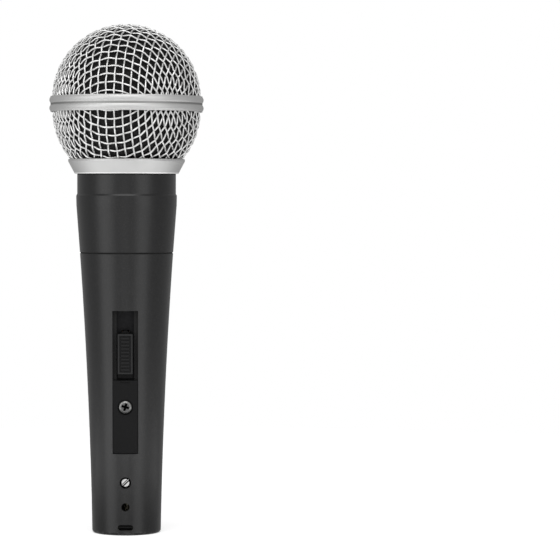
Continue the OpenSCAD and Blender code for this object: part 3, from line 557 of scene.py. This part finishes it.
def wireRun(knots, reach, line, first, crossing):
    # one wire from end to end, with a point a few times in each mesh
    def knot(k):
        i, j = (k, line) if crossing else (line, k)
        near = knots[min(abs(i), reach), min(abs(j), reach)]
        return Vector((math.copysign(near.x, i), math.copysign(near.y, j), near.z))

    lowest = math.cos(wireCloth["wireReach"])
    marks = [k for k in range(first - reach, reach - 1, 2) if knot(k).z > lowest]
    run = []
    for k in marks:
        a, b, c, d = knot(k - 2), knot(k), knot(k + 2), knot(k + 4)
        over = 1 if ((k - first + line) // 2 + crossing) % 2 else -1
        for s in range(wireCloth["stepsPerMesh"]):
            t = s / wireCloth["stepsPerMesh"]
            way = (2 * b + (c - a) * t + (2 * a - 5 * b + 4 * c - d) * t ** 2
                   + (3 * b - a - 3 * c + d) * t ** 3).normalized()
            run.append((way, over * math.cos(math.pi * t)))
    return run


def wovenBasket(name, radius, centre, turn, shift, upsideDown):
    knots, reach = pressedNet(radius)
    curve = bpy.data.curves.new(name, "CURVE")
    curve.dimensions = "3D"
    curve.bevel_depth = wireCloth["wireRadius"]
    curve.bevel_resolution = wireCloth["roundness"]
    curve.use_fill_caps = True
    place = Matrix.Translation(centre) @ Matrix.Rotation(turn, 4, "Z")
    if upsideDown:
        place = place @ Matrix.Rotation(math.pi, 4, "X")
    for crossing in (0, 1):
        for line in range(shift[crossing] - reach, reach, 2):
            run = wireRun(knots, reach, line, shift[1 - crossing], crossing)
            if len(run) < 2:
                continue
            wire = curve.splines.new("POLY")
            wire.points.add(len(run) - 1)
            for point, (way, swing) in zip(wire.points, run):
                point.co = (*(place @ (way * (radius + swing * wireCloth["wave"]))), 1)
    holder = bpy.data.objects.new(name, curve)
    bpy.context.collection.objects.link(holder)
    rounded = holder.evaluated_get(bpy.context.evaluated_depsgraph_get())
    mesh = bpy.data.meshes.new_from_object(rounded)
    bpy.data.objects.remove(holder)
    bpy.data.curves.remove(curve)
    bm = bmesh.new()
    bm.from_mesh(mesh)
    bpy.data.meshes.remove(mesh)
    return bm


def trim(bm, height, keepAbove):
    # cuts the wires level and closes their ends
    cut = bmesh.ops.bisect_plane(bm, geom=bm.verts[:] + bm.edges[:] + bm.faces[:],
                                 dist=hair / 10, plane_co=(0, 0, height),
                                 plane_no=(0, 0, -1 if keepAbove else 1), clear_outer=True)
    rim = [e for e in cut["geom_cut"] if isinstance(e, bmesh.types.BMEdge)]
    bmesh.ops.holes_fill(bm, edges=rim, sides=0)


domeLow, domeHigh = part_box("grille_dome")
domeRadius = (domeHigh[0] - domeLow[0]) / 2
domeCentre = Vector((0, 0, domeHigh[2] - domeRadius))
bowlLow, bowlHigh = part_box("grille_bowl")
bowlRadius = (bowlHigh[0] - bowlLow[0]) / 2
bowlCentre = domeCentre - Vector((0, 0, wireCloth["centreDrop"]))
bandMiddle = middle("grille_band").z
collarTop = collarFoot + wireCloth["collarHeight"]
halfCloth = wireCloth["wave"] + wireCloth["wireRadius"]

domeWires = wovenBasket("domeWires", domeRadius - halfCloth, domeCentre, wireCloth["domeTurn"],
                        wireCloth["domeShift"], False)
trim(domeWires, bandMiddle + wireCloth["domeHem"], True)
addPiece("domeWires", domeWires, "grille_wire", "head", "grille_dome")

bowlWires = wovenBasket("bowlWires", bowlRadius - halfCloth, bowlCentre, wireCloth["bowlTurn"],
                        wireCloth["bowlShift"], True)
trim(bowlWires, bandMiddle + wireCloth["bowlHem"], False)
trim(bowlWires, collarTop - wireCloth["bowlFoot"], True)
addPiece("bowlWires", bowlWires, "grille_wire", "head", "grille_bowl")


# ---- foam liners

liner = {
    "turnSteps": 120,
    "arcSteps": 22,
    "thickness": 3.0 * mm,
    "sleeveRadius": 16.58 * mm,   # the collar's sleeve, which the lower liner is pushed over
    "sleeveGap": 0.15 * mm,
    "lumps": 0.09 * mm,       # how uneven the cut foam's faces are
    "lumpScale": 420,         # lumps in a metre
}


def arcPoints(radius, centreZ, low, high):
    # points of a ball's half outline between two heights, from the lower end
    first = math.asin(max(-1, (low - centreZ) / radius))
    last = math.asin(min(1, (high - centreZ) / radius))
    steps = liner["arcSteps"]
    angles = [first + (last - first) * k / steps for k in range(steps + 1)]
    return [Vector((radius * math.cos(a), 0, centreZ + radius * math.sin(a))) for a in angles]


def foamOutline(node, centreZ):
    # corners of the liner's half section, from its lower outer edge round to its inner face
    low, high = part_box(node)
    outer = (high[0] - low[0]) / 2 - liner["lumps"]
    inner = outer - liner["thickness"] + 2 * liner["lumps"]
    bottom = low[2] + liner["lumps"]
    if high[2] > centreZ + inner:
        outside = arcPoints(outer, centreZ, bottom, centreZ + outer)
        inside = arcPoints(inner, centreZ, bottom, centreZ + inner)
        return outside, inside
    top = high[2] - liner["lumps"]
    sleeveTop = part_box("grille_collar")[1][2] + 2 * liner["sleeveGap"]
    sleeve = liner["sleeveRadius"] + liner["sleeveGap"]
    outside = arcPoints(outer, centreZ, bottom, top)
    inside = arcPoints(inner, centreZ, sleeveTop, top)
    return outside, [Vector((sleeve, 0, bottom)), Vector((sleeve, 0, sleeveTop))] + inside


def foamShell(node, centreZ):
    outside, inside = foamOutline(node, centreZ)
    bm = bmesh.new()
    corners = [bm.verts.new(p) for p in outside + inside[::-1]]
    edges = [bm.edges.new(pair) for pair in zip(corners, corners[1:])]
    edges.append(bm.edges.new((corners[-1], corners[0])))
    if outside[-1].x < hair:
        # an outline that ends on the axis stays open there
        bm.edges.remove(edges[len(outside) - 1])
    bmesh.ops.spin(bm, geom=bm.verts[:] + bm.edges[:], cent=(0, 0, 0), axis=(0, 0, 1),
                   dvec=(0, 0, 0), angle=2 * math.pi, steps=liner["turnSteps"], use_merge=True)
    bmesh.ops.remove_doubles(bm, verts=bm.verts[:], dist=hair)
    bmesh.ops.recalc_face_normals(bm, faces=bm.faces[:])
    bm.normal_update()
    moves = [v.normal * liner["lumps"] * noise.noise(v.co * liner["lumpScale"]) for v in bm.verts]
    for v, move in zip(bm.verts, moves):
        v.co += move
    return bm


foamDome = addPiece("foamDome", foamShell("foam_dome", domeCentre.z), "foam", "head", "foam_dome")
foamBowl = addPiece("foamBowl", foamShell("foam_bowl", bowlCentre.z), "foam", "head", "foam_bowl")


# ---- studio

studio = {
    "floorRadius": 0.4,
    "floorSides": 96,
    "footprintShadowFade": 1.5 * mm,
    "roomLight": 0.4,        # what the surfaces see of the room
    "softboxAim": 0.08,      # height that the softboxes point at
    "softboxes": [
        # name, azimuth from the front, distance, height, width, length, watts
        ("softboxLeft", -49, 1.2, 0.3, 0.85, 1.3, 4.7),
        ("softboxRight", 40, 1.2, 0.3, 0.7, 1.3, 3.4),
        ("softboxFront", -3, 1.3, 0.1, 0.5, 1.2, 0.9),
        ("softboxHigh", -4, 0.6, 1.1, 0.9, 0.8, 4.8),
    ],
    # bright cards on the floor, which the collar looks down at
    "cardAzimuths": (-76, 0, 76),
    "card": {"distance": 0.13, "height": 3 * mm, "width": 0.17, "length": 0.09, "watts": 0.066},
}

room = bpy.data.worlds.new("room")
room.use_nodes = True
bpy.context.scene.world = room
air = room.node_tree
seen = air.nodes.new("ShaderNodeLightPath")
plain = air.nodes["Background"]
plain.inputs["Color"].default_value = (1, 1, 1, 1)
plain.inputs["Strength"].default_value = studio["roomLight"]
behind = air.nodes.new("ShaderNodeBackground")
behind.inputs["Color"].default_value = (1, 1, 1, 1)
both = air.nodes.new("ShaderNodeMixShader")
air.links.new(seen.outputs["Is Camera Ray"], both.inputs[0])
air.links.new(plain.outputs[0], both.inputs[1])
air.links.new(behind.outputs[0], both.inputs[2])
air.links.new(both.outputs[0], air.nodes["World Output"].inputs["Surface"])

bm = bmesh.new()
bmesh.ops.create_circle(bm, cap_ends=True, radius=studio["floorRadius"],
                        segments=studio["floorSides"])
floorMesh = bpy.data.meshes.new("studioFloor")
bm.to_mesh(floorMesh)
bm.free()
floor = bpy.data.objects.new("studioFloor", floorMesh)
bpy.context.collection.objects.link(floor)
sweep = Finish("paleSweep", Roughness=0.7, Specular_IOR_Level=0.1, Emission_Strength=0.55)
# painted shadow on the floor under the handle's end, so that the socket stays dark inside
footprintShadow = sweep.between(sweep.fromLine((0, 0, 0), (0, 0, 1)), handle["endRadius"],
                          handle["endRadius"] - studio["footprintShadowFade"])
sweep.vary(Base_Color=sweep.shade(footprintShadow, (0.85, 0.85, 0.85), (0.02, 0.02, 0.02)),
           Emission_Color=sweep.shade(footprintShadow, (1, 1, 1), (0, 0, 0)))
floorMesh.materials.append(sweep.material)
floor.visible_glossy = False


def areaLamp(name, spot, turn, width, length, watts):
    lamp = bpy.data.lights.new(name, "AREA")
    lamp.shape = "RECTANGLE"
    lamp.size = width
    lamp.size_y = length
    lamp.energy = watts
    holder = bpy.data.objects.new(name, lamp)
    bpy.context.collection.objects.link(holder)
    holder.location = spot
    holder.rotation_euler = turn


def fromFront(azimuth, distance, height):
    return Matrix.Rotation(math.radians(azimuth), 4, "Z") @ Vector((0, -distance, height))


for name, azimuth, distance, height, width, length, watts in studio["softboxes"]:
    spot = fromFront(azimuth, distance, height)
    turn = (Vector((0, 0, studio["softboxAim"])) - spot).to_track_quat("-Z", "Y").to_euler()
    areaLamp(name, spot, turn, width, length, watts)
for azimuth in studio["cardAzimuths"]:
    card = studio["card"]
    spot = fromFront(azimuth, card["distance"], card["height"])
    areaLamp("floorCard", spot, (math.pi, 0, math.radians(azimuth)),
             card["width"], card["length"], card["watts"])

camera = {
    "azimuth": math.radians(2),
    "distance": 0.906,
    "height": 0.1147,
    "aimAside": 0.0515,       # the view's middle is to the right of the microphone
    "aimHeight": 0.0846,
    "lens": 173.57,
    "sensorWidth": 36,
    "roll": math.radians(0.11),
}
view = bpy.data.cameras.new("view")
view.lens = camera["lens"]
view.sensor_width = camera["sensorWidth"]
viewer = bpy.data.objects.new("view", view)
bpy.context.collection.objects.link(viewer)
turn = Matrix.Rotation(camera["azimuth"], 4, "Z")
viewer.location = turn @ Vector((0, -camera["distance"], camera["height"]))
aim = turn @ Vector((camera["aimAside"], 0, camera["aimHeight"])) - viewer.location
viewer.rotation_euler = (aim.to_track_quat("-Z", "Y").to_matrix()
                         @ Matrix.Rotation(camera["roll"], 3, "Z")).to_euler()
bpy.context.scene.camera = viewer
bpy.context.scene.view_settings.view_transform = "Standard"
print("studio ready")
